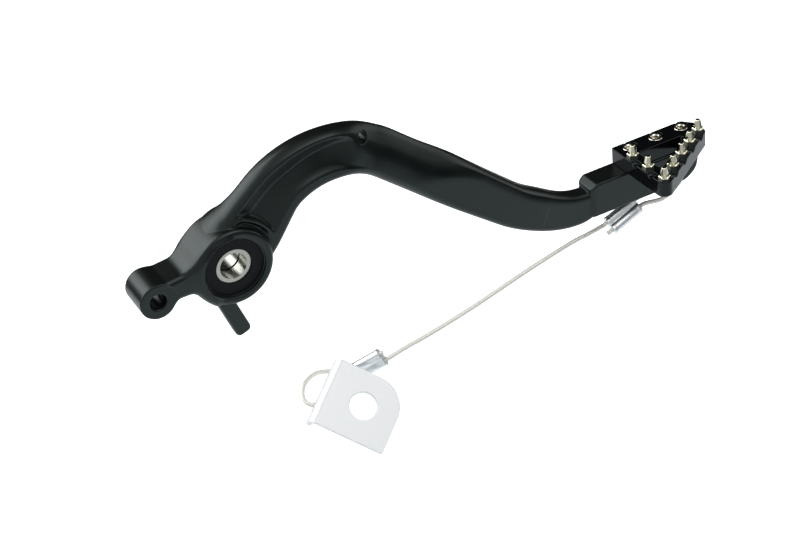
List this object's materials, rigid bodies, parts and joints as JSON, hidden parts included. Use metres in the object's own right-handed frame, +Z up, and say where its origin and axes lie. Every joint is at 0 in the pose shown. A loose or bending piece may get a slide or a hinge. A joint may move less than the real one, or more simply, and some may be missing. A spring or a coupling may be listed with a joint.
{
  "type": "rear brake pedal",
  "caption": "Forged rear brake pedal arm with sealed pivot bearings, clevis lug, studded triangular toe pad and a looped steel safety cable ending in a folded bracket.",
  "frame": {"origin": "middle of the pivot bore, on the bolt's axis", "axes": "+X forward along the pedal towards the toe pad, +Y inboard along the pivot bore towards the engine, +Z up; the pad's tread is level"},
  "size_m": [0.2326, 0.0471, 0.131],
  "materials": {
    "arm_black": "satin black anodised",
    "pad_black": "gloss black anodised",
    "bearing_steel": "polished",
    "cage_brass": "plain",
    "seal_rubber": "matt",
    "screw_steel": "polished",
    "cable_steel": "stranded with a clear coat",
    "sleeve_aluminium": "bright",
    "bracket_aluminium": "fine satin"
  },
  "bodies": {
    "pedal": {"pedal_arm": "arm_black", "outer_race_outboard": "bearing_steel", "outer_race_inboard": "bearing_steel", "seal_outboard_face": "seal_rubber", "seal_outboard_back": "seal_rubber", "seal_inboard_face": "seal_rubber", "seal_inboard_back": "seal_rubber", "toe_pad": "pad_black", "pad_screw_rear": "screw_steel", "pad_screw_middle": "screw_steel", "pad_screw_front": "screw_steel", "stud_1": "screw_steel", "stud_2": "screw_steel", "stud_3": "screw_steel", "stud_4": "screw_steel", "stud_5": "screw_steel", "stud_6": "screw_steel", "stud_7": "screw_steel", "safety_cable": "cable_steel", "front_sleeve": "sleeve_aluminium", "rear_sleeve": "sleeve_aluminium", "frame_bracket": "bracket_aluminium"},
    "outboard_inner_race": {"inner_race_outboard": "bearing_steel"},
    "outboard_balls": {"balls_outboard": "bearing_steel", "cage_outboard": "cage_brass"},
    "inboard_inner_race": {"inner_race_inboard": "bearing_steel"},
    "inboard_balls": {"balls_inboard": "bearing_steel", "cage_inboard": "cage_brass"}
  },
  "joints": [
    {"name": "outboard_race_spin", "type": "hinge", "parent": "pedal", "child": "outboard_inner_race", "pos_m": [0, -0.0035, 0], "axis": [0, 1, 0], "continuous": true},
    {"name": "outboard_balls_spin", "type": "hinge", "parent": "pedal", "child": "outboard_balls", "pos_m": [0, -0.0035, 0], "axis": [0, 1, 0], "continuous": true},
    {"name": "inboard_race_spin", "type": "hinge", "parent": "pedal", "child": "inboard_inner_race", "pos_m": [0, 0.0035, 0], "axis": [0, 1, 0], "continuous": true},
    {"name": "inboard_balls_spin", "type": "hinge", "parent": "pedal", "child": "inboard_balls", "pos_m": [0, 0.0035, 0], "axis": [0, 1, 0], "continuous": true}
  ],
  "couplings": [
    {"joint": "outboard_balls_spin", "follows": "outboard_race_spin", "ratio": 0.375},
    {"joint": "inboard_balls_spin", "follows": "inboard_race_spin", "ratio": 0.375}
  ]
}
